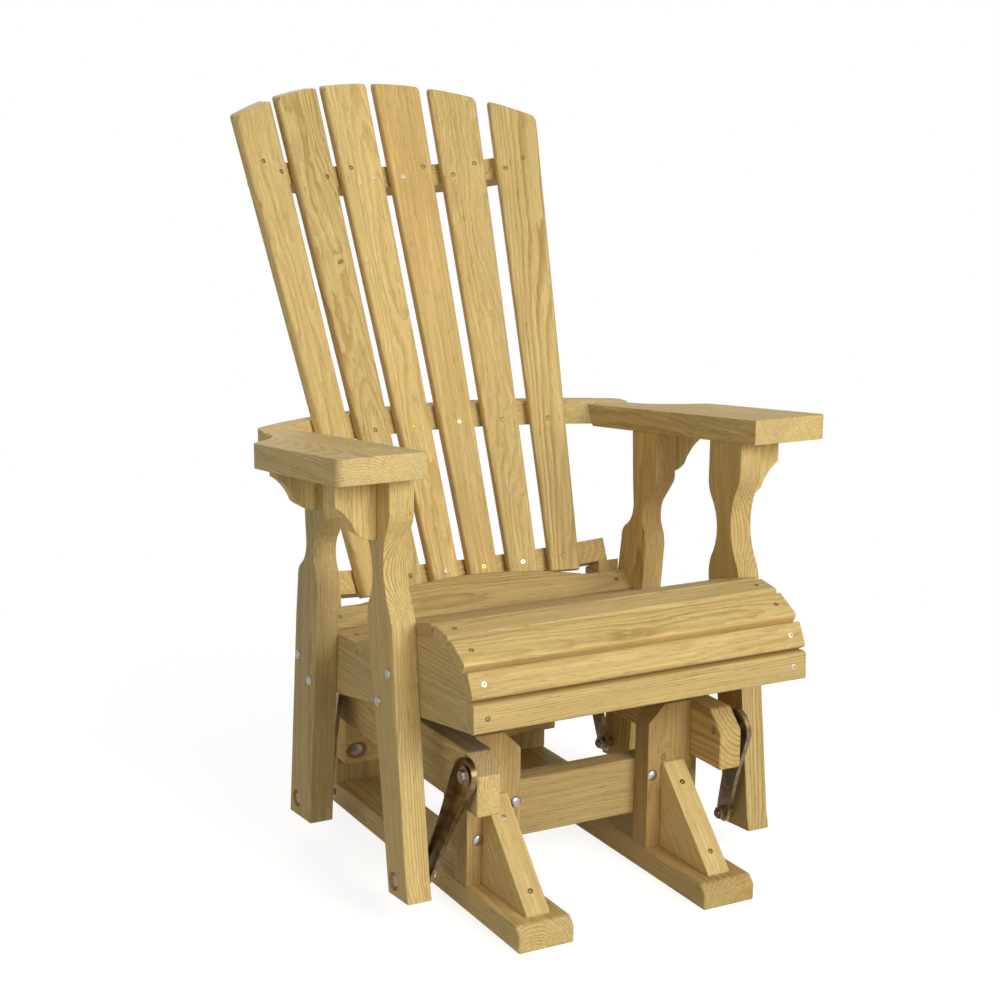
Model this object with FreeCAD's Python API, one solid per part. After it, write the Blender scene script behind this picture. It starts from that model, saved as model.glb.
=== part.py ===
import FreeCAD, Part
import math
import os

# Millimetres, +Z up, front of the chair towards -Y, left and right mirrored about X = 0.

# Driving dimensions ---- overall
board_thick = 38.0          # thickness of the frame lumber
board_wide = 89.0           # width of the frame lumber
ease = 2.0                  # chamfer on handled wood edges
clear = 0.3                 # gap between pieces that move past each other
run_fit = 0.05              # radial running fit of pins in bushes

# Sled base
hanger_let_in = 13.0        # depth of the hanger rails let into the posts
runner_front = -445.0
runner_rear = 357.0
runner_nose = 12.0          # chamfer on the runner ends
front_post_y = -285.0       # front face of the front posts
rear_post_y = 184.0         # front face of the rear posts
post_top = 267.0
post_bevel = 28.0           # cut on the inner top corner of each post
cross_rail_low = 83.0       # underside of both cross rails
hanger_front = -365.0
hanger_bevel = 30.0
brace_reach = 132.0         # length of a brace along the runner
brace_rise = 137.0          # height of a brace up the post
brace_tip = 5.0             # blunt end of the brace points
brace_inset = 45.4          # middle of a brace in from the outer face of the posts

# Swing arms and pivots
pivot_high = 236.0
pivot_low = 67.0
front_hang_y = -345.0       # upper front pivot
front_foot_y = -276.0       # lower front pivot
rear_hang_y = 107.0         # upper rear pivot
rear_foot_y = 84.0          # lower rear pivot
arm_big_radius = 28.0
arm_small_radius = 15.0
sheet = 3.0                 # sheet thickness of the pressed swing arms
hang_room = 24.0            # from a hanger rail out to the web of the swing arm
foot_room = 26.7            # from that web out to the leg
arm_depth = 16.0            # depth of the pressed channel
pin_radius = 6.0
bush_radius = 9.0
bush_flange = 11.5
bush_flange_thick = 2.5
bolt_head_radius = 11.0
bolt_head_thick = 7.0
recess_radius = 14.0
recess_depth = 9.0
rear_slot_clear = 1.6       # radial clearance of the open rear pivots
rear_slot_shift = 1.26      # that hole sits this much behind the pin at rest

# Seat
seat_half = 275.4           # half length of the seat slats
slat_thick = 18.0
slat_gap = 5.0

# Arms and corbels
rest_lap = 1.9              # arm boards past the inner faces of the legs
rest_wide = 133.2
rest_front = -305.0
rest_front_top = 696.6
rest_fall = 0.10            # drop per unit towards the rear
corbel_thick = 32.0
corbel_reach = 63.3         # from the leg out to the tip of the corbel
corbel_drop = 136.1         # from the front top of the arms down to the corbel feet

# Back
lean = 25.0                 # degrees from vertical
back_radius = 590.0         # plan radius of the slat fronts
back_y_at_405 = 108.0       # front of the back at height 405 on the middle line
back_slat_thick = 22.0
foot_lift = 2.07            # back slats above the rearmost seat slat
slat_pitch_foot = 69.0      # spacing of the slats at their feet
slat_pitch_rate = 0.0362    # growth of that spacing per unit height
slat_wide_foot = 54.0
slat_wide_rate = 0.0426     # growth of slat width per unit height
crown_top = 1182.0
crown_radius = 740.0
rail_depth = 40.0
low_rail_height = 404.0     # slat front height over the middle of the lower rail
top_rail_drop = 147.0       # from the crown down to the middle of the top rail
low_rail_inset = 21.4       # lower rail ends in from the ends of the seat slats
low_rail_gap = 0.85         # lower rail above the side boards
top_rail_half = 258.0
mid_rail_reach = 58.3       # middle rail ends past the inner faces of the legs
arm_end_y = 126.0           # here the arm tops are level with the middle rail

vec = FreeCAD.Vector
across = vec(1, 0, 0)
upward = vec(0, 0, 1)
slope = math.tan(math.radians(lean))
pieces = {}

# Widths, taken from the seat outwards and down to the base
leg_inner = seat_half + clear
leg_outer = leg_inner + board_thick
arm_inner = leg_inner - foot_room
hanger_outer = arm_inner - hang_room
hanger_inner = hanger_outer - board_thick
base_half_width = hanger_inner + hanger_let_in
post_inner = base_half_width - board_wide
brace_x = base_half_width - brace_inset
rest_inner = leg_inner - rest_lap
rest_outer = rest_inner + rest_wide


def at_x(x):
    return lambda p: vec(x, p[0], p[1])


def at_y(y):
    return lambda p: vec(p[0], y, p[1])


def at_z(z):
    return lambda p: vec(p[0], p[1], z)


def sheet_face(path, lift):
    """Closed face from points; a step of four numbers is an arc through a point to its end."""
    edges = []
    current = path[0]
    for step in path[1:] + [path[0]]:
        end = step[-2:]
        if len(step) == 4:
            edges.append(Part.Arc(lift(current), lift(step[:2]), lift(end)).toShape())
        elif (lift(end) - lift(current)).Length > 1e-6:
            edges.append(Part.makeLine(lift(current), lift(end)))
        current = end
    return Part.Face(Part.Wire(edges))


def prism(path, lift, travel):
    return sheet_face(path, lift).extrude(travel)


def slab_x(path, x0, x1):
    return prism(path, at_x(x0), vec(x1 - x0, 0, 0))


def box(x0, x1, y0, y1, z0, z1):
    return Part.makeBox(x1 - x0, y1 - y0, z1 - z0, vec(x0, y0, z0))


def rod(start, direction, radius, length):
    return Part.makeCylinder(radius, length, start, direction)


def hex_block(start, direction, radius, length):
    corners = [vec(radius * math.cos(math.pi * i / 3), radius * math.sin(math.pi * i / 3), 0)
               for i in range(6)]
    block = Part.Face(Part.makePolygon(corners + corners[:1])).extrude(vec(0, 0, length))
    block.Placement = FreeCAD.Placement(start, FreeCAD.Rotation(upward, direction))
    return block


def eased(shape, size=ease, keep=None):
    edges = [e for e in shape.Edges if keep is None or keep(e)]
    return shape.makeChamfer(size, edges)


def mirrored(shape):
    return shape.mirror(vec(0, 0, 0), across)


def both_sides(name, shape):
    """Right piece as drawn and its mirrored left piece."""
    pieces[name + "_right"] = shape
    pieces[name + "_left"] = mirrored(shape)


def drill(shape, start, direction, radius, length):
    return shape.cut(rod(start - direction * 5, direction, radius, length + 5))


def arm_under(y):
    return rest_front_top - board_thick - rest_fall * (y - rest_front)


def back_front_y(x, z):
    """Y of the slat fronts: a leaning cylinder, hollow towards the sitter."""
    sag = back_radius - math.sqrt(back_radius ** 2 - x ** 2)
    return back_y_at_405 + slope * (z - 405.0) - sag


# Sled base
notch_low = post_top - board_wide
rail_high = cross_rail_low + board_wide
rear_face = rear_post_y + board_thick
front_back_face = front_post_y + board_thick

runner_path = [(runner_front, 0), (runner_rear, 0), (runner_rear, board_thick - runner_nose),
               (runner_rear - runner_nose, board_thick), (runner_front + runner_nose, board_thick),
               (runner_front, board_thick - runner_nose)]
both_sides("runner", eased(slab_x(runner_path, post_inner, base_half_width)))

post_path = [(post_inner, board_thick), (base_half_width, board_thick), (base_half_width, notch_low),
             (hanger_inner, notch_low), (hanger_inner, post_top), (post_inner + post_bevel, post_top),
             (post_inner, post_top - post_bevel)]


def post(y):
    return prism(post_path, at_y(y), vec(0, board_thick, 0))


both_sides("post_front", post(front_post_y))
both_sides("post_rear", post(rear_post_y))


def cross_rail(y):
    return eased(box(-base_half_width, base_half_width, y, y + board_thick,
                     cross_rail_low, rail_high))


pieces["cross_rail_front"] = cross_rail(front_back_face)
pieces["cross_rail_rear"] = cross_rail(rear_post_y - board_thick)

hanger_path = [(hanger_front, notch_low), (rear_face, notch_low), (rear_face, post_top),
               (hanger_front + hanger_bevel, post_top), (hanger_front, post_top - hanger_bevel)]
hanger = eased(slab_x(hanger_path, hanger_inner, hanger_outer))
for y in (front_hang_y, rear_hang_y):
    hanger = drill(hanger, vec(hanger_inner, y, pivot_high), across, pin_radius + run_fit,
                   board_thick)
both_sides("hanger_rail", hanger)


def brace(face_y, way):
    """Solid corner brace between runner and post; way is -1 in front, 1 behind."""
    foot = face_y + way * brace_reach
    head = board_thick + brace_rise
    path = [(face_y, board_thick), (foot, board_thick), (foot, board_thick + brace_tip),
            (face_y + way * brace_tip, head), (face_y, head)]
    return slab_x(path, brace_x - board_thick / 2, brace_x + board_thick / 2)


both_sides("brace_front", brace(front_post_y, -1))
both_sides("brace_rear", brace(rear_face, 1))

# Swing arms: tapered pressed channels, open towards the legs
arm_outer = arm_inner + arm_depth


def arm_outline(upper, lower, big, small):
    """Two circles joined by their outer tangents, as a path of lines and arcs in (y, z)."""
    dy = lower[0] - upper[0]
    dz = lower[1] - upper[1]
    span = math.hypot(dy, dz)
    along = math.atan2(dz, dy)
    turn = math.acos((big - small) / span)

    def rim(centre, radius, angle):
        return (centre[0] + radius * math.cos(angle), centre[1] + radius * math.sin(angle))

    return [rim(upper, big, along + turn), rim(upper, big, along + math.pi)
            + rim(upper, big, along - turn), rim(lower, small, along - turn),
            rim(lower, small, along) + rim(lower, small, along + turn)]


def swing_arm(upper, lower):
    body = slab_x(arm_outline(upper, lower, arm_big_radius, arm_small_radius),
                  arm_inner, arm_outer)
    hollow = slab_x(arm_outline(upper, lower, arm_big_radius - sheet, arm_small_radius - sheet),
                    arm_inner + sheet, arm_outer + 1)
    body = body.cut(hollow)
    for y, z in (upper, lower):
        body = drill(body, vec(arm_inner, y, z), across, bush_radius + run_fit, sheet)
    return body


def bush(y, z, x0, x1, flange_x):
    tube = rod(vec(x0, y, z), across, bush_radius, x1 - x0)
    tube = tube.fuse(rod(vec(flange_x, y, z), across, bush_flange, bush_flange_thick))
    bore = rod(vec(x0 - 1, y, z), across, pin_radius + run_fit, x1 - x0 + 2)
    return tube.cut(bore).removeSplitter()


upper_bush_end = arm_inner + sheet + 2.0
lower_bush_end = arm_inner - 2.0


def arm_bushes(upper, lower):
    high = bush(upper[0], upper[1], hanger_outer + clear, upper_bush_end,
                arm_inner - bush_flange_thick)
    low = bush(lower[0], lower[1], lower_bush_end, leg_inner - clear, arm_inner + sheet)
    return Part.makeCompound([high, low])


def hanger_bolt(y):
    head = hex_block(vec(upper_bush_end + clear, y, pivot_high), across,
                     bolt_head_radius, bolt_head_thick)
    shank = rod(vec(hanger_inner - 16, y, pivot_high), across, pin_radius,
                upper_bush_end + clear + 17 - hanger_inner)
    nut = hex_block(vec(hanger_inner, y, pivot_high), across * -1, bolt_head_radius, 10.0)
    return head.fuse([shank, nut]).removeSplitter()


def foot_bolt(y):
    head_x = leg_inner + board_thick - recess_depth + clear
    nut_x = lower_bush_end - clear
    head = hex_block(vec(head_x, y, pivot_low), across, bolt_head_radius, bolt_head_thick)
    shank = rod(vec(nut_x - 11, y, pivot_low), across, pin_radius, head_x + 1 - nut_x + 11)
    nut = hex_block(vec(nut_x, y, pivot_low), across * -1, bolt_head_radius, 8.0)
    return head.fuse([shank, nut]).removeSplitter()


front_pins = ((front_hang_y, pivot_high), (front_foot_y, pivot_low))
rear_pins = ((rear_hang_y, pivot_high), (rear_foot_y, pivot_low))
both_sides("swing_arm_front", swing_arm(*front_pins))
both_sides("swing_arm_rear", swing_arm(*rear_pins))
both_sides("bushes_front", arm_bushes(*front_pins))
both_sides("bushes_rear", arm_bushes(*rear_pins))
hanger_bolts = [hanger_bolt(front_hang_y), hanger_bolt(rear_hang_y)]
pieces["hanger_bolts"] = Part.makeCompound(hanger_bolts + [mirrored(b) for b in hanger_bolts])
front_foot_bolt = foot_bolt(front_foot_y)
pieces["foot_bolts_front"] = Part.makeCompound([front_foot_bolt, mirrored(front_foot_bolt)])
both_sides("foot_bolt_rear", foot_bolt(rear_foot_y))

# Side boards: their upper edge is a row of flats, one per seat slat
flats = [(-431, 334), (-429, 375.5), (-412, 410), (-368, 434.5), (-325, 441), (-240, 420),
         (-157, 377), (-68, 343), (25, 340)]
ramp_start = (37.0, 343.5)          # flat under the rearmost slat
ramp_end = (73.0, 360.7)
side_rear = 118.0


def low_rail_under(y):
    """Height of the leaning lower rail's underside, less its gap over the side boards."""
    level = low_rail_height - slope * (y - back_front_y(0, low_rail_height))
    return level - board_thick / 2 / math.cos(math.radians(lean)) - low_rail_gap


side_path = flats + [ramp_start, ramp_end, (ramp_end[0] + 0.5, low_rail_under(ramp_end[0] + 0.5)),
                     (side_rear, low_rail_under(side_rear)), (side_rear, 330),
                     (20, 258), (-287, 311.5), (-431, 333)]
both_sides("side_board", slab_x(side_path, seat_half - board_thick, seat_half))

last_flat = len(flats) - 2
for number in range(len(flats) - 1):
    y0, z0 = flats[number]
    y1, z1 = flats[number + 1]
    along = vec(0, y1 - y0, z1 - z0)
    run = along.Length
    along.normalize()
    outward = vec(0, -along.z, along.y)
    start = vec(-seat_half, y0, z0) + along * (slat_gap / 2 if number else 0.0)
    wide = run - (slat_gap if number else slat_gap / 2)
    if number >= last_flat - 1:
        wide -= slat_thick / 4.5        # the seat hollows here, so the tops need more room
    slat = Part.Face(Part.makePolygon([start, start + along * wide,
                                       start + along * wide + outward * slat_thick,
                                       start + outward * slat_thick, start]))
    pieces["seat_slat_%d" % (number + 1)] = eased(slat.extrude(across * (2 * seat_half)))

# The rearmost seat slat rises to the back and its rear edge follows the curve of the back
ramp_run = math.hypot(ramp_end[0] - ramp_start[0], ramp_end[1] - ramp_start[1])
ramp_turn = math.degrees(math.atan2(ramp_end[1] - ramp_start[1], ramp_end[0] - ramp_start[0]))
bulge_half = 205.0
bulge = 27.0
ramp_path = [(-seat_half, 0), (seat_half, 0), (seat_half, ramp_run), (bulge_half, ramp_run),
             (0, ramp_run + bulge, -bulge_half, ramp_run), (-seat_half, ramp_run)]
ramp_slat = eased(prism(ramp_path, at_z(0), vec(0, 0, slat_thick)), 1.5)
ramp_slat.Placement = FreeCAD.Placement(vec(0, ramp_start[0], ramp_start[1]),
                                        FreeCAD.Rotation(across, ramp_turn))
pieces["seat_slat_9"] = ramp_slat
back_slat_foot = ramp_slat.BoundBox.ZMax + foot_lift

# Contoured legs, waisted between seat and arm
front_leg_path = [(-260, 44), (-325, 49), (-318, 78), (-293, 266), (-275, 430),
                  (-273, 447, -266, 465), (-247, 525, -262, 585), (-267, 597, -268, 610),
                  (-268, arm_under(-268)), (-184, arm_under(-184)), (-184, 582),
                  (-186.5, 571, -193, 558), (-210, 515, -198, 466), (-192.5, 447, -193, 425),
                  (-227, 250)]
rear_leg_path = [(112, 38), (28, 44), (-1, 352), (-9, 428), (-9, 446, -4, 462),
                 (3.5, 487, -10, 520), (-33, 549), (-35, 556), (-35, arm_under(-35)),
                 (39, arm_under(39)), (34.5, 541), (31, 505), (35, 482, 50, 464),
                 (62, 453, 66, 436), (74.5, 382)]


def leg(path, pin_y, pin_z, hole):
    shape = slab_x(path, leg_inner, leg_outer)
    shape = drill(shape, vec(leg_inner, pin_y, pin_z), across, hole, board_thick)
    return shape.cut(rod(vec(leg_outer - recess_depth, pin_y, pin_z), across,
                         recess_radius, recess_depth + 5))


both_sides("leg_front", leg(front_leg_path, front_foot_y, pivot_low, pin_radius + run_fit))
both_sides("leg_rear", leg(rear_leg_path, rear_foot_y + rear_slot_shift, pivot_low,
                           pin_radius + rear_slot_clear))

# Back slats: flat tapered boards fanned out over a leaning cylinder
back_slats = []


def back_slat(rank):
    foot_x = rank * slat_pitch_foot
    head_z = crown_top - 17.0
    head_x = rank * (slat_pitch_foot + slat_pitch_rate * (head_z - back_slat_foot))
    foot = vec(foot_x, back_front_y(foot_x, back_slat_foot), back_slat_foot)
    head = vec(head_x, back_front_y(head_x, head_z), head_z)
    along = (head - foot).normalize()
    turn = math.asin((foot_x + head_x) / 2 / back_radius)
    front = vec(math.cos(turn), -math.sin(turn), 0).cross(along).normalize()
    side = along.cross(front)

    def half_at(b):
        return (slat_wide_foot + slat_wide_rate * b * along.z) / 2

    def crown_at(a):
        guess = head_z
        for attempt in range(4):
            x = foot_x + (guess - back_slat_foot) / along.z * along.x + a * side.x
            guess = crown_top - crown_radius + math.sqrt(crown_radius ** 2 - x ** 2)
        return (guess - back_slat_foot - a * side.z) / along.z

    half = half_at(crown_at(0))
    path = [(-half_at(0), 0), (half_at(0), 0), (half, crown_at(half)),
            (0, crown_at(0), -half, crown_at(-half))]
    shape = prism(path, at_z(-back_slat_thick), vec(0, 0, back_slat_thick))
    corners = [e for e in shape.Edges
               if abs(e.Vertexes[0].Z - e.Vertexes[-1].Z) > 1 and e.Vertexes[0].Y > 100]
    shape = shape.makeFillet(9.0, corners)
    front_rim = [e for e in shape.Edges if min(v.Z for v in e.Vertexes) > -0.01]
    shape = shape.makeChamfer(ease, front_rim)
    shape.Placement = FreeCAD.Placement(FreeCAD.Matrix(side.x, along.x, front.x, foot.x,
                                                       side.y, along.y, front.y, foot.y,
                                                       side.z, along.z, front.z, foot.z,
                                                       0, 0, 0, 1))
    return shape


for number in range(6):
    slat = back_slat(number - 2.5)
    back_slats.append(slat)
    pieces["back_slat_%d" % (number + 1)] = slat

# Curved back rails, all shaped by one leaning cylinder and bedded on the slats
rail_radius = back_radius + back_slat_thick / math.cos(math.radians(lean))
cone_low = 330.0
cone_high = 780.0


def leaning_cylinder(radius):
    centre = vec(0, back_front_y(0, cone_low) - back_radius, cone_low)
    disc = Part.Face(Part.Wire(Part.makeCircle(radius, centre, upward)))
    return disc.extrude(vec(0, slope * cone_high, cone_high))


def shaped_rail(blank):
    rail = blank.cut(leaning_cylinder(rail_radius))
    for slat in back_slats:
        rail = rail.cut(slat)
    return rail


def leaning_rail(half, height):
    drop = math.cos(math.radians(lean)) * (rail_radius - math.sqrt(rail_radius ** 2 - half ** 2))
    rear = back_slat_thick + rail_depth
    corner = 14.0
    path = [(-half, -70), (half, -70), (half, rear - drop - corner),
            (half - 4, rear - drop - 4, half - corner, rear - drop + 3),
            (0, rear, corner - half, rear - drop + 3),
            (4 - half, rear - drop - 4, -half, rear - drop - corner)]
    blank = prism(path, at_z(-board_thick / 2), vec(0, 0, board_thick))
    blank.Placement = FreeCAD.Placement(vec(0, back_front_y(0, height), height),
                                        FreeCAD.Rotation(across, -lean))
    return shaped_rail(blank)


pieces["back_rail_lower"] = leaning_rail(seat_half - low_rail_inset, low_rail_height)
pieces["back_rail_top"] = leaning_rail(top_rail_half, crown_top - top_rail_drop)

mid_rail_top = arm_under(arm_end_y) + board_thick
mid_rail_half = leg_inner + mid_rail_reach
mid_level = mid_rail_top - board_thick / 2
mid_rear = back_front_y(0, mid_level) + rail_radius - back_radius + rail_depth
mid_drop = rail_radius - math.sqrt(rail_radius ** 2 - mid_rail_half ** 2)
round_end = 12.0
mid_path = [(-mid_rail_half, 60), (mid_rail_half, 60),
            (mid_rail_half, mid_rear - mid_drop - round_end),
            (mid_rail_half - 3, mid_rear - mid_drop - 2, mid_rail_half - round_end,
             mid_rear - mid_drop + 6),
            (0, mid_rear, round_end - mid_rail_half, mid_rear - mid_drop + 6),
            (3 - mid_rail_half, mid_rear - mid_drop - 2, -mid_rail_half,
             mid_rear - mid_drop - round_end)]
mid_blank = prism(mid_path, at_z(mid_rail_top - board_thick), vec(0, 0, board_thick))
pieces["back_rail_middle"] = shaped_rail(mid_blank)

# Arms: sloping boards cut to the middle rail at their rear ends
rest_path = [(rest_inner, rest_front), (rest_outer - 14, rest_front),
             (rest_outer - 4, rest_front + 4, rest_outer, rest_front + 14), (rest_outer, -8),
             (rest_outer - 4, 10, rest_outer - 16, 24), (rest_outer - 57, 72, mid_rail_half, 130),
             (mid_rail_half, 220), (rest_inner, 220)]
rest = prism(rest_path, at_z(arm_under(240)), vec(0, 0, 100 + board_thick))
rest_slab = slab_x([(-320, arm_under(-320)), (240, arm_under(240)),
                    (240, arm_under(240) + board_thick), (-320, arm_under(-320) + board_thick)],
                   rest_inner - 1, rest_outer + 1)
rest = rest.common(rest_slab).common(leaning_cylinder(rail_radius - clear))
both_sides("arm_rest", rest)

above = rest_front_top + 100
above_arm = slab_x([(-320, arm_under(-320)), (240, arm_under(240)), (240, above), (-320, above)],
                   rest_inner - 1, rest_outer + 1)
corbel_low = rest_front_top - corbel_drop
corbel_path = [(leg_outer, corbel_low),
               (leg_outer + 20.3, corbel_low + 3.5, leg_outer + 32.3, corbel_low + 12.5),
               (leg_outer + 42.3, corbel_low + 31.5, leg_outer + corbel_reach, corbel_low + 51.5),
               (leg_outer + corbel_reach, rest_front_top), (leg_outer, rest_front_top)]


def corbel(y):
    return prism(corbel_path, at_y(y), vec(0, corbel_thick, 0)).cut(above_arm)


both_sides("corbel_front", corbel(-227.0))
both_sides("corbel_rear", corbel(-15.0))

# Origin under the middle of the overall box
whole = FreeCAD.BoundBox()
for shape in pieces.values():
    whole.add(shape.BoundBox)
depth_shift = -(whole.YMin + whole.YMax) / 2
os.makedirs("parts", exist_ok=True)
for name, shape in pieces.items():
    shape.translate(vec(0, depth_shift, 0))
    shape.exportStep("parts/" + name + ".step")
print("pieces", len(pieces), "depth shift", round(depth_shift, 3))
print("size", round(whole.XLength, 1), round(whole.YLength, 1), round(whole.ZLength, 1))
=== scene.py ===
import math

import bmesh
import bpy
from mathutils import Matrix, Vector


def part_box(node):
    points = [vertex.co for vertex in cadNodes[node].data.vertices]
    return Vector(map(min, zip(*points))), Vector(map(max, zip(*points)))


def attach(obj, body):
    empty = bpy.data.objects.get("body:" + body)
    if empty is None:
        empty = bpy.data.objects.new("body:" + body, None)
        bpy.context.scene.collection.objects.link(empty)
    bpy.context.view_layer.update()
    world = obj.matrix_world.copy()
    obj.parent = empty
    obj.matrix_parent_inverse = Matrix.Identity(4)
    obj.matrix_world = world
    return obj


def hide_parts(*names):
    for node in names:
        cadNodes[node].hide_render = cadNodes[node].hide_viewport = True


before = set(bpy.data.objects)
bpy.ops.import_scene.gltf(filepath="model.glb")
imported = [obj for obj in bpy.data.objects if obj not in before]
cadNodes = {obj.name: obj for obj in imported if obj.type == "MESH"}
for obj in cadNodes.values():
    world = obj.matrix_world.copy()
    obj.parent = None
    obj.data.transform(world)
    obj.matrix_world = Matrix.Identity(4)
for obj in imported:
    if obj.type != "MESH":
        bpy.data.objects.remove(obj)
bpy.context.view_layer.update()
print("frame loaded:", len(cadNodes), "parts")

depthShift = -20.866        # mm, from the depths used below to the frame's own
perMetre = 1000             # the depths and sizes below are in millimetres
creaseAngle = 0.6           # edges sharper than this, in radians, stay crisp


def drawn(x, y, z):
    # a point given in drawing millimetres, in the frame's metres
    return Vector((x, y + depthShift, z)) / perMetre


def mix(first, last, share):
    return first + (last - first) * share


def stand(name, data):
    # a new object in the scene
    made = bpy.data.objects.new(name, data)
    bpy.context.scene.collection.objects.link(made)
    return made


class Wiring:
    # short ways to place and link nodes in one tree
    def __init__(self, tree):
        self.tree = tree

    def put(self, kind, inputs=None, **settings):
        node = self.tree.nodes.new(kind)
        for name, value in settings.items():
            setattr(node, name, value)
        for name, value in (inputs or {}).items():
            self.feed(node.inputs[name], value)
        return node

    def shade(self, kind, inputs, **settings):
        return self.put("ShaderNode" + kind, inputs, **settings).outputs[0]

    def geo(self, kind, first=None, inputs=None, **settings):
        # a geometry node; its first input is given on its own
        node = self.put("GeometryNode" + kind, inputs, **settings)
        if first is not None:
            self.feed(node.inputs[0], first)
        return node.outputs[0]

    def feed(self, socket, value):
        if isinstance(value, bpy.types.NodeSocket):
            self.tree.links.new(value, socket)
        else:
            socket.default_value = value

    def calc(self, operation, *values, clamp=False):
        node = self.put("ShaderNodeMath", dict(enumerate(values)), operation=operation)
        node.use_clamp = clamp
        return node.outputs[0]

    def chain(self, operation, first, *others):
        for other in others:
            first = self.calc(operation, first, other)
        return first

    def plus(self, *values):
        return self.chain("ADD", *values)

    def minus(self, *values):
        return self.chain("SUBTRACT", *values)

    def times(self, *values):
        return self.chain("MULTIPLY", *values)

    def over(self, value, by):
        return self.calc("DIVIDE", value, by)

    def most(self, *values):
        return self.chain("MAXIMUM", *values)

    def vector(self, operation, *values):
        node = self.put("ShaderNodeVectorMath", dict(enumerate(values)), operation=operation)
        return node.outputs["Value" if operation in ("LENGTH", "DOT_PRODUCT") else "Vector"]

    def scaled(self, value, amount):
        return self.shade("VectorMath", {0: value, "Scale": amount}, operation="SCALE")

    def split(self, value):
        return self.put("ShaderNodeSeparateXYZ", {0: value}).outputs

    def join(self, x, y, z):
        return self.shade("CombineXYZ", {0: x, 1: y, 2: z})

    def place(self):
        return self.put("ShaderNodeTexCoord").outputs["Object"]

    def ease(self, value, low, high, start=0.0, end=1.0):
        return self.shade("MapRange", {"Value": value, "From Min": low, "From Max": high,
                                       "To Min": start, "To Max": end},
                          interpolation_type="SMOOTHSTEP")

    def noise(self, at, scale, detail=2.0, rough=0.5, result="Fac"):
        # scale is given per metre: along the grain, across it and deep
        spread = self.vector("MULTIPLY", at, scale)
        return self.put("ShaderNodeTexNoise", {"Vector": spread, "Scale": 1.0, "Detail": detail,
                                               "Roughness": rough}).outputs[result]

    def blend(self, factor, first, second, how="MIX"):
        node = self.put("ShaderNodeMix", {0: factor, 6: first, 7: second},
                        data_type="RGBA", blend_type=how)
        return node.outputs[2]

    def seenRays(self):
        # 1 for what the camera, metal or glass sees, 0 for the light that falls on the chair
        rays = self.put("ShaderNodeLightPath").outputs
        return self.most(rays["Is Camera Ray"], self.most(rays["Is Glossy Ray"],
                                                          rays["Is Transmission Ray"]))


def newMaterial(name):
    material = bpy.data.materials.new(name)
    material.use_nodes = True
    w = Wiring(material.node_tree)
    return material, w, w.tree.nodes["Principled BSDF"]


def coat(w, shader, colour, rough, height, strength, distance):
    bump = w.shade("Bump", {"Strength": strength, "Distance": distance, "Height": height})
    w.feed(shader.inputs["Base Color"], colour)
    w.feed(shader.inputs["Roughness"], rough)
    w.feed(shader.inputs["Normal"], bump)


# Pine: growth rings round a heart line that runs beside the board, seen on every cut face
pineColours = {
    "early": (0.73, 0.535, 0.202, 1),
    "pale": (0.86, 0.70, 0.34, 1),
    "late": (0.43, 0.26, 0.068, 1),
    "warm": (0.70, 0.42, 0.13, 1),
    "grey": (0.44, 0.385, 0.205, 1),
    "knotRim": (0.17, 0.085, 0.028, 1),
    "knotCore": (0.33, 0.17, 0.06, 1),
    "weathered": (0.15, 0.12, 0.085, 1),
}
pine = {"taper": 0.016, "ripple": 0.17, "leastRipple": 0.0012, "crinkle": 0.4,
        "paceSwing": 1.5, "knotPush": 1.7, "paleLines": 0.5, "streaks": 0.56, "fibres": 0.24,
        "clouds": 0.30, "base": 0.44, "marks": 0.30, "halo": 0.10, "knotCore": 0.85,
        "knotRim": 0.8, "gloss": 0.3, "bump": 0.35, "bumpDepth": 0.0006}
knotsPerBoard = 3
middleGrey = (0.5, 0.5, 0.5)


# Where a board was cut from the log and how its rings show
# The tone brightens or darkens a whole board: it is partly the board's own colour and partly
# painted shade and light, darker for boards in shade under the seat and lighter for a few that
# catch more light
plainLook = {"Seed": 0.0, "Heart Across": 0.01, "Heart Deep": -0.06, "Ring Width": 0.0045,
             "Figure": 0.7, "Warmth": 0.3, "Greyness": 0.15, "Wander": 0.02, "Tone And Shade": 1.0,
             "Weathering": 0.0}


def lookOf(values):
    return {**plainLook, **dict(zip(plainLook, values))}


def pineRadius(w, given, spot):
    # how far each spot is from the heart line; the fibres wander along the board
    drift = w.noise(spot, (2.6, 9.0, 9.0), 2.0, 0.5, "Color")
    swayed = w.scaled(w.vector("SUBTRACT", drift, middleGrey), given["Wander"])
    ripple = w.noise(spot, (11.0, 45.0, 45.0), 2.0, 0.5, "Color")
    waviness = w.plus(w.times(given["Wander"], pine["ripple"]), pine["leastRipple"])
    rippled = w.vector("MULTIPLY", w.vector("SUBTRACT", ripple, middleGrey),
                       w.join(0.0, waviness, waviness))
    crinkle = w.vector("SUBTRACT", w.noise(spot, (42.0, 95.0, 95.0), 2.0, 0.6, "Color"), middleGrey)
    fine = w.times(waviness, pine["crinkle"])
    rippled = w.vector("ADD", rippled, w.vector("MULTIPLY", crinkle, w.join(0.0, fine, fine)))
    moved = w.vector("ADD", w.vector("ADD", given["At"], swayed), rippled)
    along, across, deep = w.split(moved)
    fromHeart = w.join(0.0, w.minus(across, given["Heart Across"]),
                       w.minus(deep, given["Heart Deep"]))
    radius = w.plus(w.vector("LENGTH", fromHeart), w.times(along, pine["taper"]))
    return moved, along, across, radius


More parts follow.
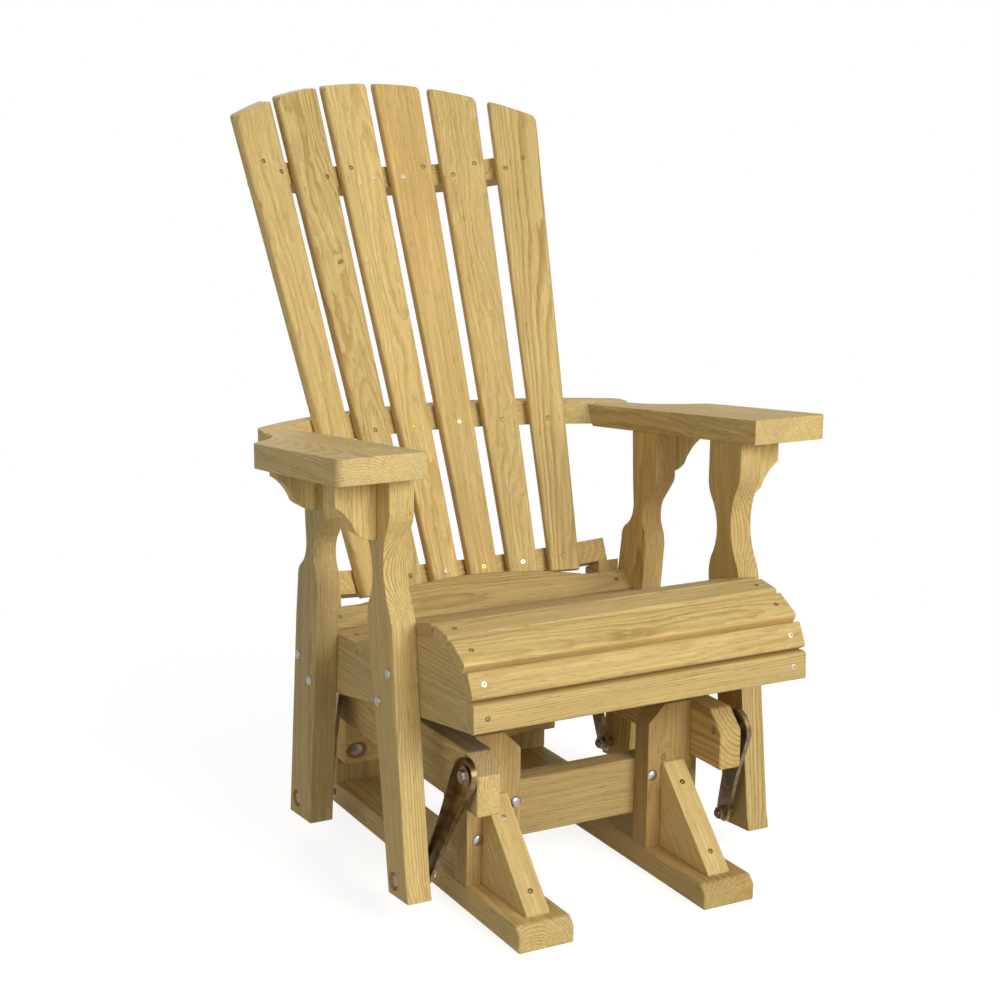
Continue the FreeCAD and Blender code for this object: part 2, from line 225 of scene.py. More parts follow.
def pineKnots(w, given, along, across, radius):
    # knots push the rings aside; the masks are their cores, rims and the shade round them
    core, rim, halo = 0.0, 0.0, 0.0
    for n in range(knotsPerBoard):
        knotAlong, knotAcross, knotSize = w.split(given[f"Knot {n + 1}"])
        size = w.most(knotSize, 0.0001)
        offAlong, offAcross = w.minus(along, knotAlong), w.minus(across, knotAcross)
        near, far = (w.over(w.vector("LENGTH", w.join(w.times(offAlong, squeeze), offAcross, 0.0)),
                            size) for squeeze in (0.8, 0.42))
        push = w.calc("EXPONENT", w.times(w.calc("POWER", far, 2.0), -0.16))
        radius = w.plus(radius, w.times(push, w.times(knotSize, pine["knotPush"])))
        core = w.most(core, w.ease(near, 1.05, 0.8))
        rim = w.most(rim, w.times(w.ease(near, 1.25, 1.0), w.ease(near, 0.72, 0.95)))
        halo = w.most(halo, w.ease(far, 2.4, 0.8))
    return radius, core, rim, halo


def addSocket(group, name, kind, way="INPUT"):
    return group.interface.new_socket(name, in_out=way, socket_type="NodeSocket" + kind)


def buildPineGroup():
    group = bpy.data.node_groups.new("pineGrain", "ShaderNodeTree")
    sockets = [("At", "Vector")] + [(name, "Float") for name in plainLook]
    sockets += [(f"Knot {n + 1}", "Vector") for n in range(knotsPerBoard)]
    for name, kind in sockets:
        addSocket(group, name, kind)
    for name, kind in (("Color", "Color"), ("Roughness", "Float"), ("Height", "Float")):
        addSocket(group, name, kind, "OUTPUT")
    w = Wiring(group)
    given = w.put("NodeGroupInput").outputs
    result = w.put("NodeGroupOutput")
    shift = w.scaled((1.7, 3.1, 2.3), given["Seed"])
    spot = w.vector("ADD", given["At"], shift)
    moved, along, across, radius = pineRadius(w, given, spot)
    movedSpot = w.vector("ADD", moved, shift)
    radius, coreMask, rimMask, haloMask = pineKnots(w, given, along, across, radius)

    # each ring darkens towards its outer edge, and not every year alike
    pace = w.noise(spot, (0.6, 8.0, 8.0), 1.0)
    turns = w.plus(w.over(radius, given["Ring Width"]), w.times(pace, pine["paceSwing"]))
    part = w.calc("FRACT", turns)
    summer = w.times(w.ease(part, 0.30, 0.86), w.ease(part, 1.0, 0.93))
    yearly = w.put("ShaderNodeTexWhiteNoise", {"W": w.plus(w.calc("FLOOR", turns), given["Seed"])},
                   noise_dimensions="1D").outputs["Value"]
    yearly = w.ease(yearly, 0.0, 1.0, 0.5, 1.0)
    patchy = w.ease(w.noise(spot, (3.0, 30.0, 30.0), 3.0), 0.25, 0.65, 0.55, 1.0)
    dark = w.calc("MULTIPLY", w.times(summer, yearly, patchy), given["Figure"], clamp=True)

    # long streaks, fine fibres and short resin marks
    streaks = w.noise(movedSpot, (2.4, 170.0, 170.0), 3.0, 0.65)
    fibres = w.noise(spot, (14.0, 900.0, 900.0), 2.0, 0.7)
    paleLines = w.ease(w.noise(movedSpot, (6.0, 330.0, 330.0), 2.0, 0.6), 0.52, 0.72)
    marks = w.ease(w.noise(movedSpot, (38.0, 620.0, 620.0), 1.0), 0.63, 0.71)
    tone = w.noise(spot, (1.6, 7.0, 7.0), 2.0)
    clouds = w.noise(spot, (5.0, 28.0, 28.0), 2.0)

    body = pineColours["early"]
    for amount, colour in ((w.times(given["Warmth"], w.ease(tone, 0.2, 0.75)), "warm"),
                           (w.times(given["Greyness"], w.ease(tone, 0.8, 0.3)), "grey"),
                           (w.times(paleLines, pine["paleLines"]), "pale"), (dark, "late")):
        body = w.blend(amount, body, pineColours[colour])
    shade = w.plus(w.times(streaks, pine["streaks"]), w.times(fibres, pine["fibres"]),
                   w.times(clouds, pine["clouds"]), pine["base"])
    shade = w.minus(shade, w.times(marks, pine["marks"]), w.times(haloMask, pine["halo"]))
    # the board's tone, which holds painted shade and light as well as the board's own colour
    shade = w.times(shade, given["Tone And Shade"])
    body = w.blend(1.0, body, w.join(shade, shade, shade), "MULTIPLY")
    for mask, colour in ((coreMask, "knotCore"), (rimMask, "knotRim")):
        body = w.blend(w.times(mask, pine[colour]), body, pineColours[colour])
    # old rain-washed wood on the upper face
    upwards = w.split(w.put("ShaderNodeNewGeometry").outputs["Normal"])[2]
    washed = w.times(w.ease(upwards, 0.5, 0.9, 0.0, 0.85), given["Weathering"])
    body = w.blend(w.times(washed, w.ease(streaks, 0.2, 0.55, 0.6, 1.0)), body,
                   pineColours["weathered"])
    w.feed(result.inputs["Color"], body)
    w.feed(result.inputs["Roughness"], w.ease(fibres, 0.2, 0.8, 0.56, 0.72))
    height = w.plus(w.times(dark, 0.5), w.times(fibres, 0.45))
    w.feed(result.inputs["Height"], w.minus(height, w.times(marks, 0.4)))
    return group


pineGroup = buildPineGroup()


def pineShader(name, at, look, knots=()):
    material, w, shader = newMaterial(name)
    grain = w.put("ShaderNodeGroup", node_tree=pineGroup)
    w.feed(grain.inputs["At"], at(w))
    for socket, value in look.items():
        w.feed(grain.inputs[socket], value)
    for n, knot in enumerate(knots):
        w.feed(grain.inputs[f"Knot {n + 1}"], knot)
    coat(w, shader, grain.outputs["Color"], grain.outputs["Roughness"], grain.outputs["Height"],
         pine["bump"], pine["bumpDepth"])
    shader.inputs["Specular IOR Level"].default_value = pine["gloss"]
    return material


def boardTurn(along, out):
    # rotation whose X runs with the grain and Z out of the board's broad face
    u = Vector(along).normalized()
    w = Vector(out)
    w = (w - u * w.dot(u)).normalized()
    return Matrix((u, w.cross(u), w)).transposed()


def paint(part, material):
    part.data.materials.clear()
    part.data.materials.append(material)


def pineOnBoard(name, along, out, look, knotSpots):
    # the grain of one part of the frame; knots are points on it and a radius in millimetres
    low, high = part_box(name)
    centre = (low + high) / 2
    turn = boardTurn(along, out)
    knots = []
    for spot, size in knotSpots:
        local = turn.transposed() @ (drawn(*spot) - centre)
        knots.append((local.x, local.y, size / perMetre))

    def at(w):
        return w.shade("Mapping", {"Vector": w.place(), "Location": centre,
                                   "Rotation": turn.to_euler()}, vector_type="TEXTURE")

    paint(cadNodes[name], pineShader("pine_" + name, at, look, knots))


alongX, alongY, alongZ = (1, 0, 0), (0, 1, 0), (0, 0, 1)
leanSlope = math.tan(math.radians(25))
braceRun, braceRise = 132, 137

# Each kind of board: its grain direction and its broad face
boardWays = {
    "runner": (alongY, alongZ), "post": (alongZ, alongY), "cross_rail": (alongX, alongY),
    "hanger_rail": (alongY, alongX), "arm_rest": (alongY, alongZ), "side_board": (alongY, alongX),
    "leg_front": ((0, 0.14, 1), alongX), "leg_rear": ((0, -0.05, 1), alongX),
    "corbel": (alongZ, alongY), "back_rail_middle": (alongX, alongZ),
    "back_rail": (alongX, (0, 1, leanSlope)), "brace_front": ((0, -braceRun, -braceRise), alongX),
    "brace_rear": ((0, braceRun, -braceRise), alongX),
}
# Each board's look, in the order of plainLook
# the ninth value, the tone, is partly painted shade and light: lower boards in the shade under the
# seat are darker, a few boards are lighter
boardLooks = {
    "runner_left": (1, 0.02, -0.03, 0.0042, 0.8, 0.25, 0.35, 0.02, 0.98),
    "runner_right": (2, -0.03, -0.05, 0.005, 0.5, 0.9, 0.1, 0.02, 0.76),
    "post_front_left": (3, 0.05, 0.03, 0.004, 0.6, 0.5, 0.1, 0.02, 0.74),
    "post_front_right": (4, -0.03, 0.04, 0.004, 0.6, 1.0, 0.0, 0.02, 0.60),
    "post_rear_left": (5, 0.02, 0.04, 0.005, 0.6, 0.6, 0.3, 0.02, 0.80),
    "post_rear_right": (6, 0.03, 0.05, 0.005, 0.6, 0.4, 0.2, 0.02, 0.75),
    "cross_rail_front": (7, 0.12, 0.05, 0.0035, 0.6, 0.6, 0.1, 0.02, 0.72),
    "cross_rail_rear": (8, 0.02, 0.06, 0.005, 0.6, 0.6, 0.3, 0.02, 1.12),
    "hanger_rail_left": (9, 0.01, 0.03, 0.004, 0.8, 0.4, 0.2, 0.02, 1.04, 1.0),
    "hanger_rail_right": (10, 0.04, 0.03, 0.007, 0.9, 1.0, 0.0, 0.02, 0.84),
    "arm_rest_left": (11, 0.04, -0.05, 0.0042, 0.75, 0.15, 0.5, 0.02, 1.06),
    "arm_rest_right": (12, -0.06, -0.05, 0.0042, 0.7, 0.2, 0.4, 0.02, 0.96),
    "side_board_left": (13, 0.0, -0.05, 0.006, 0.6, 0.2, 0.5, 0.02, 0.90),
    "side_board_right": (14, 0.01, -0.05, 0.006, 0.6, 0.3, 0.3, 0.02, 0.85),
    "leg_front_left": (15, 0.06, -0.03, 0.0030, 0.9, 0.1, 0.2, 0.012, 0.96),
    "leg_front_right": (16, 0.07, 0.03, 0.0034, 0.8, 0.3, 0.2, 0.012, 0.84),
    "leg_rear_left": (17, 0.02, -0.05, 0.0036, 0.7, 0.3, 0.4, 0.02, 0.80),
    "leg_rear_right": (18, 0.03, 0.05, 0.0038, 0.8, 0.6, 0.2, 0.02, 0.92),
    "corbel_front_left": (19, 0.04, 0.04, 0.004, 0.6, 0.4, 0.1),
    "corbel_front_right": (20, 0.03, 0.04, 0.004, 0.6, 0.3, 0.2),
    "corbel_rear_left": (21, 0.03, 0.05, 0.004, 0.6, 0.3, 0.4),
    "corbel_rear_right": (22, 0.03, 0.05, 0.004, 0.7, 0.6, 0.2),
}
for name, seed, grey in (("lower", 23, 0.2), ("middle", 24, 0.3), ("top", 25, 0.4)):
    boardLooks["back_rail_" + name] = (seed, 0.03, 0.05, 0.004, 0.6, 0.4, grey)
for name, seed in (("front_left", 29), ("rear_left", 31), ("front_right", 25), ("rear_right", 27)):
    boardLooks["brace_" + name] = (seed, 0.1, 0.05, 0.008, 0.2, 0.25, 0.2)
# a knot is a point on the board and a radius
boardKnots = {"post_front_right": [((140, -285, 178), 4)],
              "cross_rail_rear": [((-181, 146, 104), 13)]}
for name, look in boardLooks.items():
    along, out = next(way for kind, way in boardWays.items() if name.startswith(kind))
    pineOnBoard(name, along, out, lookOf(look), boardKnots.get(name, ()))
print("pine laid on", len(boardLooks), "boards")


def roundOff(part, width, angle):
    # worn or rolled edges
    worn = part.modifiers.new("worn corners", "BEVEL")
    worn.width = width
    worn.segments = 2
    worn.limit_method = "ANGLE"
    worn.angle_limit = math.radians(angle)


# Sawn corners are worn round
sawnEdges = {"width": 0.0012, "angle": 28, "join": 1e-5, "flat": 0.6}
for name in boardLooks:
    part = cadNodes[name]
    part.modifiers.new("joined", "WELD").merge_threshold = sawnEdges["join"]
    flat = part.modifiers.new("flat faces", "DECIMATE")
    flat.decimate_type = "DISSOLVE"
    flat.angle_limit = math.radians(sawnEdges["flat"])
    roundOff(part, sawnEdges["width"], sawnEdges["angle"])


def metalShader(name, base, second, rough, spotScale, dirt=(0.05, 0.03, 0.015), dirtiness=0.3):
    # two tones in clouds, with grime over them
    material, w, shader = newMaterial(name)
    at = w.place()
    cloud = w.noise(at, (spotScale,) * 3, 4.0, 0.6)
    grime = w.noise(at, (spotScale * 3,) * 3, 5.0, 0.7)
    colour = w.blend(w.ease(cloud, 0.35, 0.65), (*base, 1), (*second, 1))
    colour = w.blend(w.times(w.ease(grime, 0.5, 0.72), dirtiness), colour, (*dirt, 1))
    coat(w, shader, colour, w.ease(cloud, 0.2, 0.8, rough - 0.06, rough + 0.1), grime, 0.15, 0.0003)
    shader.inputs["Metallic"].default_value = 1.0
    return material


# Each finish: two tones, roughness and clouds per metre, then the dirt and how much of it
metals = {
    "bronzeSteel": ((0.16, 0.11, 0.05), (0.27, 0.20, 0.10), 0.34, 60),
    "zincBolt": ((0.54, 0.53, 0.52), (0.38, 0.37, 0.37), 0.3, 120, (0.25, 0.2, 0.14), 0.35),
    "bushBronze": ((0.45, 0.32, 0.15), (0.35, 0.25, 0.13), 0.35, 90),
    "screwYellow": ((0.72, 0.52, 0.10), (0.60, 0.40, 0.08), 0.34, 300),
    "screwBright": ((0.66, 0.60, 0.52), (0.52, 0.44, 0.36), 0.38, 300, (0.3, 0.2, 0.1), 0.2),
    # near black for the screw recesses: painted shade in the hollow
    "recessPaintedShade": ((0.03, 0.022, 0.015), (0.05, 0.035, 0.02), 0.6, 300),
    "brownZinc": ((0.30, 0.22, 0.14), (0.22, 0.16, 0.10), 0.4, 120),
    "screwDull": ((0.17, 0.11, 0.045), (0.30, 0.21, 0.09), 0.42, 300),
    "legZinc": ((0.36, 0.35, 0.33), (0.24, 0.23, 0.22), 0.32, 120, (0.2, 0.16, 0.11), 0.35),
    "nutDull": ((0.40, 0.34, 0.28), (0.28, 0.22, 0.17), 0.42, 120),
}
metals = {name: metalShader(name, *look) for name, look in metals.items()}
for name, part in cadNodes.items():
    for sign, finish in (("swing_arm", "bronzeSteel"), ("bushes", "bushBronze"),
                         ("bolt", "brownZinc")):
        if sign in name:
            paint(part, metals[finish])
print("metal finishes set")


# Geometry nodes make what repeats: the slats, then each kind of fastener
def newTree(name, inputs):
    group = bpy.data.node_groups.new(name, "GeometryNodeTree")
    group.is_modifier = True
    addSocket(group, "Geometry", "Geometry")
    for title, value in inputs.items():
        socket = addSocket(group, title, "Material" if value is None else "Float")
        if value is not None:
            socket.default_value = value
    addSocket(group, "Geometry", "Geometry", "OUTPUT")
    w = Wiring(group)
    return w, w.put("NodeGroupInput").outputs, w.put("NodeGroupOutput").inputs["Geometry"]


def runTree(name, mesh, tree, material):
    # runs a tree on a carrier mesh and keeps the result as a plain mesh
    carrier = stand(name + "Carrier", mesh)
    maker = carrier.modifiers.new("maker", "NODES")
    maker.node_group = tree
    paints = {"Material": material, "Recess Shade Material": metals["recessPaintedShade"]}
    for item in tree.interface.items_tree:
        if item.name in paints:
            maker[item.identifier] = paints[item.name]
    graph = bpy.context.evaluated_depsgraph_get()
    made = bpy.data.meshes.new_from_object(carrier.evaluated_get(graph), depsgraph=graph,
                                           preserve_all_data_layers=True)
    bpy.data.objects.remove(carrier)
    return stand(name, made)


def carrierMesh(name, points):
    # points that carry vectors and numbers for a tree and for the pine: a list of dictionaries
    mesh = bpy.data.meshes.new(name + "Points")
    mesh.from_pydata([point["from"] for point in points], [], [])
    for title, value in points[0].items():
        if isinstance(value, (int, float)):
            layer = mesh.attributes.new(title, "FLOAT", "POINT")
            layer.data.foreach_set("value", [point[title] for point in points])
        else:
            layer = mesh.attributes.new(title, "FLOAT_VECTOR", "POINT")
            layer.data.foreach_set("vector", [c for point in points for c in point[title]])
    return mesh


def readPoint(w, title, kind="FLOAT_VECTOR"):
    node = w.put("GeometryNodeInputNamedAttribute", {"Name": title}, data_type=kind)
    return node.outputs["Attribute"]


def standBlanks(w, given, verts):
    # a plain board on every point; gives the real mesh and each spot's place on its blank
    counts = dict(zip(("Vertices X", "Vertices Y", "Vertices Z"), verts))
    blank = w.geo("MeshCube", (1.0, 1.0, 1.0), counts)
    marked = w.geo("StoreNamedAttribute", blank, {"Name": "blank", "Value": w.geo("InputPosition")},
                   data_type="FLOAT_VECTOR", domain="POINT")
    stood = w.geo("InstanceOnPoints", given["Geometry"], {"Instance": marked})
    return w.geo("RealizeInstances", stood), w.split(readPoint(w, "blank"))


def crowded(w, place):
    # moves evenly spaced places towards both edges, where a section needs its points
    return w.calc("SINE", w.times(place, math.pi))


def roundedSection(w, across, out, halfAcross, halfOut, radius, bothFaces=True):
    # a box section with its long edges rounded
    beyond = []
    for value, half in ((across, halfAcross), (out, halfOut)):
        straight = w.minus(half, radius)
        kept = w.most(w.calc("MINIMUM", value, straight), w.times(straight, -1.0))
        beyond.append((kept, w.minus(value, kept)))
    (keptAcross, offAcross), (keptOut, offOut) = beyond
    wide = w.plus(w.vector("LENGTH", w.join(offAcross, offOut, 0.0)), 1e-9)
    furthest = w.most(w.calc("ABSOLUTE", offAcross), w.calc("ABSOLUTE", offOut))
    pull = w.over(w.plus(furthest, 1e-9), wide)
    if not bothFaces:
        front = w.calc("GREATER_THAN", out, 0.0)
        pull = w.plus(w.times(pull, front), w.minus(1.0, front))
    return w.plus(keptAcross, w.times(offAcross, pull)), w.plus(keptOut, w.times(offOut, pull))


def placeAndPaint(w, given, real, alongBy, acrossBy, outBy, result):
    at = readPoint(w, "from")
    for axis, amount in (("along", alongBy), ("across", acrossBy), ("out", outBy)):
        at = w.vector("ADD", at, w.scaled(readPoint(w, axis), amount))
    smooth = w.geo("SetShadeSmooth", w.geo("SetPosition", real, {"Position": at}))
    steep = w.calc("GREATER_THAN", w.geo("InputMeshEdgeAngle"), creaseAngle)
    creased = w.geo("SetShadeSmooth", smooth, {"Selection": steep, "Shade Smooth": False},
                    domain="EDGE")
    w.feed(result, w.geo("SetMaterial", creased, {"Material": given["Material"]}))


slatGrids = {"back": (23, 2, 11), "seat": (43, 15, 9)}      # points along, across and deep
backSlatSizes = {"Foot Width": 0.051, "Width Growth": 0.0426, "Thickness": 0.022,
                 "Crown Height": 1.182, "Crown Radius": 0.740, "Crown Guess": 0.017,
                 "Corner Radius": 0.009, "Edge Radius": 0.0068, "Level Cut": 0.466,
                 "Material": None}


def buildBackSlatTree():
    # widens upwards and ends on the crown's circle, level from front to back
    w, given, result = newTree("backSlats", backSlatSizes)
    real, (blankX, blankY, blankZ) = standBlanks(w, given, slatGrids["back"])
    share = crowded(w, blankX)
    foot, along, across = (w.split(readPoint(w, title)) for title in ("from", "along", "across"))

    def halfAt(length):
        rise = w.times(length, along[2], given["Width Growth"])
        return w.times(w.plus(rise, given["Foot Width"]), 0.5)

    def square(value):
        return w.calc("POWER", value, 2.0)

    top = w.minus(given["Crown Height"], given["Crown Guess"])
    for attempt in range(3):
        length = w.over(w.minus(top, foot[2]), along[2])
        offSide = w.times(share, halfAt(length))
        x = w.plus(foot[0], w.times(length, along[0]), w.times(offSide, across[0]))
        chord = w.calc("SQRT", w.minus(square(given["Crown Radius"]), w.times(x, x)))
        crown = w.plus(w.minus(given["Crown Height"], given["Crown Radius"]), chord)
        top = w.minus(crown, w.times(offSide, across[2]))
    length = w.over(w.minus(top, foot[2]), along[2])
    corner = given["Corner Radius"]
    toEdge = w.minus(halfAt(length), w.calc("ABSOLUTE", offSide))
    inCorner = w.most(w.minus(corner, toEdge), 0.0)
    bend = w.calc("SQRT", w.minus(square(corner), square(inCorner)))
    halfThick = w.times(given["Thickness"], 0.5)
    offMiddle = w.times(crowded(w, blankZ), halfThick)
    behind = w.minus(halfThick, offMiddle)
    length = w.plus(w.minus(length, w.minus(corner, bend)), w.times(behind, given["Level Cut"]))
    alongBy = w.times(w.plus(blankY, 0.5), length)
    half = halfAt(alongBy)
    acrossBy, outBy = roundedSection(w, w.times(share, half), offMiddle, half, halfThick,
                                     given["Edge Radius"])
    placeAndPaint(w, given, real, alongBy, acrossBy, w.minus(outBy, halfThick), result)
    return w.tree


seatSlatSizes = {"Length": 0.5508, "Thickness": 0.018, "Gap": 0.0, "Bulge Half": 0.205,
                 "Edge Radius": 0.0045, "Material": None}


def buildSeatSlatTree():
    # each fills its own flat of the side boards; the rearmost one bulges towards the back
    w, given, result = newTree("seatSlats", seatSlatSizes)
    real, (blankX, blankY, blankZ) = standBlanks(w, given, slatGrids["seat"])
    alongBy = w.times(blankX, given["Length"])
    room = w.minus(readPoint(w, "run", "FLOAT"), given["Gap"])
    halfRoom, halfThick = w.times(room, 0.5), w.times(given["Thickness"], 0.5)
    acrossBy, outBy = roundedSection(w, w.times(crowded(w, blankY), halfRoom),
                                     w.times(crowded(w, blankZ), halfThick), halfRoom, halfThick,
                                     given["Edge Radius"], bothFaces=False)
    acrossBy = w.plus(acrossBy, w.plus(halfRoom, w.times(given["Gap"], 0.5)))
    share = w.over(acrossBy, room)
    off = w.calc("MINIMUM", w.over(w.calc("ABSOLUTE", alongBy), given["Bulge Half"]), 1.0)
    swell = w.times(w.minus(1.0, w.times(off, off)), readPoint(w, "bulge", "FLOAT"), share)
    outBy = w.plus(outBy, halfThick)
    placeAndPaint(w, given, real, alongBy, w.plus(acrossBy, swell), outBy, result)
    return w.tree


fullTurn, spinSeed = 6.2832, 7      # fasteners end at any turn


def setOnPoints(w, given, shape, result, recess=None):
    # stands the shape's +Z along each point's facing, then makes the copies real
    turn = w.put("FunctionNodeAlignRotationToVector", {"Vector": readPoint(w, "facing")},
                 axis="Z").outputs[0]
    spin = w.put("FunctionNodeRandomValue", {2: 0.0, 3: fullTurn, "Seed": spinSeed},
                 data_type="FLOAT").outputs[1]
    placed = w.geo("InstanceOnPoints", given["Geometry"], {"Instance": shape, "Rotation": turn})
    placed = w.geo("RotateInstances", placed, {"Rotation": w.join(0.0, 0.0, spin)})
    painted = w.geo("SetMaterial", w.geo("RealizeInstances", placed),
                    {"Material": given["Material"]})
    # the recess faces get the near-black recess material, a painted shade
    if recess:
        painted = w.geo("SetMaterial", painted, {"Selection": recess,
                                                 "Material": given["Recess Shade Material"]})
    w.feed(result, painted)
    return w.tree


screwSizes = {"Head Radius": 0.0042, "Head Height": 0.0005, "Dome Share": 0.84,
              "Lip": 0.00008, "Recess Radius": 0.0019, "Recess Depth": 0.0016,
              "Recess Taper": 0.7, "Material": None, "Recess Shade Material": None}


def buildScrewTree():
    w, given, result = newTree("deckScrew", screwSizes)

    def raised(shape, top, lift):
        return w.put("GeometryNodeExtrudeMesh", {"Mesh": shape, "Selection": top,
                                                 "Offset Scale": lift}).outputs

    def shrunk(part, scale):
        return w.geo("ScaleElements", part["Mesh"], {"Selection": part["Top"], "Scale": scale})

    depth = 0.002       # what is in the wood
    disc = w.put("GeometryNodeMeshCylinder", {"Vertices": 20, "Radius": given["Head Radius"],
                                              "Depth": depth}).outputs
    lifted = w.geo("Transform", disc["Mesh"], {"Translation": (0.0, 0.0, -depth / 2)})
    rim = raised(lifted, disc["Top"], given["Head Height"])
    edge = raised(shrunk(rim, given["Dome Share"]), rim["Top"], given["Lip"])
    share = w.over(given["Recess Radius"], given["Head Radius"])
    sunk = raised(shrunk(edge, share), edge["Top"], w.times(given["Recess Depth"], -1.0))
    recess = w.put("FunctionNodeBooleanMath", {0: sunk["Top"], 1: sunk["Side"]},
                   operation="OR").outputs[0]
    return setOnPoints(w, given, shrunk(sunk, given["Recess Taper"]), result, recess)


boltSizes = {"Head Radius": 0.0088, "Head Height": 0.0042, "Sunk": -0.15, "Material": None}
legBoltSizes = {**boltSizes, "Head Radius": 0.0076}


def buildBoltTree(sizes):
    w, given, result = newTree("carriageBolt", sizes)
    ball = w.geo("MeshUVSphere", 28, {"Rings": 16, "Radius": 1.0})
    x, y, z = w.split(w.geo("InputPosition"))
    domed = w.join(w.times(x, given["Head Radius"]), w.times(y, given["Head Radius"]),
                   w.times(w.most(z, given["Sunk"]), given["Head Height"]))
    head = w.geo("SetPosition", ball, {"Position": domed})
    return setOnPoints(w, given, w.geo("SetShadeSmooth", head), result)


nutSizes = {"Washer Radius": 0.0092, "Washer Height": 0.0014, "Nut Radius": 0.0068,
            "Nut Height": 0.0050, "Stud Radius": 0.0034, "Stud Height": 0.0090, "Material": None}
nutPosts = ((24, "Washer", 0.5), (6, "Nut", 0.5, "Washer Height"), (14, "Stud", 0.5))
hexSizes = {"Head Radius": 0.0098, "Head Height": 0.006, "Shank Radius": 0.0059,
            "Shank Height": 0.042, "Material": None}
hexHeadSizes = {**hexSizes, "Shank Height": 0.004}
hexPosts = ((6, "Head", 0.5), (24, "Shank", -0.48))


def buildPostTree(name, sizes, posts):
    # closed posts: corners, kind, middle as a share of its height, and what it stands on
    w, given, result = newTree(name, sizes)
    joined = w.put("GeometryNodeJoinGeometry")
    for corners, kind, middle, *under in posts:
        height = given[kind + " Height"]
        lift = w.plus(w.times(height, middle), *(given[title] for title in under))
        post = w.geo("MeshCylinder", corners, {"Radius": given[kind + " Radius"], "Depth": height})
        post = w.geo("Transform", post, {"Translation": w.join(0.0, 0.0, lift)})
        w.feed(joined.inputs[0], post)
    return setOnPoints(w, given, joined.outputs[0], result)


screwTree = buildScrewTree()
boltTree = buildBoltTree(boltSizes)
legBoltTree = buildBoltTree(legBoltSizes)
nutTree = buildPostTree("nutAndWasher", nutSizes, nutPosts)
hexTree = buildPostTree("hexBolt", hexSizes, hexPosts)
hexHeadTree = buildPostTree("hexBolt", hexHeadSizes, hexPosts)


def setFasteners(name, tree, finish, spots, body):
    mesh = carrierMesh(name, [{"from": spot, "facing": facing} for spot, facing in spots])
    piece = runTree(name, mesh, tree, metals[finish])
    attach(piece, body)
    return piece


# The fan of back slats: each stands on a leaning cylinder and widens upwards
fan = {"radius": 590.0, "midDepth": 108.0, "midHeight": 405.0, "foot": 390.0,
       "pitch": 69.0, "pitchGrowth": 0.0362, "head": 1165.0}


def fanDepth(x, z):
    sag = fan["radius"] - math.sqrt(fan["radius"] ** 2 - x ** 2)
    return fan["midDepth"] + leanSlope * (z - fan["midHeight"]) - sag


def slatAxes(rank):
    footX = rank * fan["pitch"]
    headX = rank * (fan["pitch"] + fan["pitchGrowth"] * (fan["head"] - fan["foot"]))
    foot, head = (Vector((x, fanDepth(x, z), z)) for x, z in ((footX, fan["foot"]),
                                                              (headX, fan["head"])))
    along = (head - foot).normalized()
    turn = math.asin((footX + headX) / 2 / fan["radius"])
    front = Vector((math.cos(turn), -math.sin(turn), 0)).cross(along).normalized()
    return foot, along, along.cross(front), front


def onSlat(rank, x, z):
    # where a screw at this width and height meets the front of a slat, and its facing
    foot, along, side, front = slatAxes(rank)
    y = foot.y - (front.x * (x - foot.x) + front.z * (z - foot.z)) / front.y
    return drawn(x, y, z), front


# The flats under the seat slats, as depth and height
seatFlats = [(-431, 334), (-429, 375.5), (-412, 410), (-368, 434.5), (-325, 441), (-240, 420),
             (-157, 377), (-68, 343), (25, 340)]
rampFlat = ((37.0, 343.5), (73.0, 368.5))       # under the rearmost seat slat
seat = {"thick": 18.0, "bulge": 31.0, "hollowRoom": 4.0, "screwX": 254}


def onSeatSlat(number, x):
    # the same in the middle of a seat slat
    (y0, z0), (y1, z1) = seatFlats[number:number + 2]
    run = math.hypot(y1 - y0, z1 - z0)
    outY, outZ = -(z1 - z0) / run, (y1 - y0) / run
    y = mix(y0, y1, 0.5) + outY * seat["thick"]
    z = mix(z0, z1, 0.5) + outZ * seat["thick"]
    return drawn(x, y, z), (0, outY, outZ)


# What a slat's point carries for the pine, three values at a time
# the third set carries warmth, greyness and the tone, which is partly painted shade
carriedLook = {"heart": ("Seed", "Heart Across", "Heart Deep"),
               "figure": ("Ring Width", "Figure", "Wander"), "tint": ("Warmth", "Greyness", "Tone And Shade")}


def pineOnSlats(name):
    # the same pine, placed by what each slat carries from its point
    def carried(w, title):
        return w.put("ShaderNodeAttribute", attribute_name=title).outputs["Vector"]

    def at(w):
        offset = w.vector("SUBTRACT", w.place(), carried(w, "from"))
        return w.join(*(w.vector("DOT_PRODUCT", offset, carried(w, axis))
                        for axis in ("along", "across", "out")))

    material = pineShader(name, at, {})
    w = Wiring(material.node_tree)
    grain = next(node for node in w.tree.nodes if node.type == "GROUP")
    for title, sockets in carriedLook.items():
        for socket, value in zip(sockets, w.split(carried(w, title))):
            w.feed(grain.inputs[socket], value)
    for n in range(knotsPerBoard):
        w.feed(grain.inputs[f"Knot {n + 1}"], carried(w, f"knot{n + 1}"))
    return material


def slatPoint(place, along, across, out, look, knots, **sizes):
    # what one slat carries
    point = {"from": place, "along": along, "across": across, "out": out}
    for title, sockets in carriedLook.items():
        point[title] = [look[socket] for socket in sockets]
    spots = list(knots) + [(0, 0, 0)] * (knotsPerBoard - len(knots))
    for n, spot in enumerate(spots):
        point[f"knot{n + 1}"] = [value / perMetre for value in spot]
    point.update(sizes)
    return point
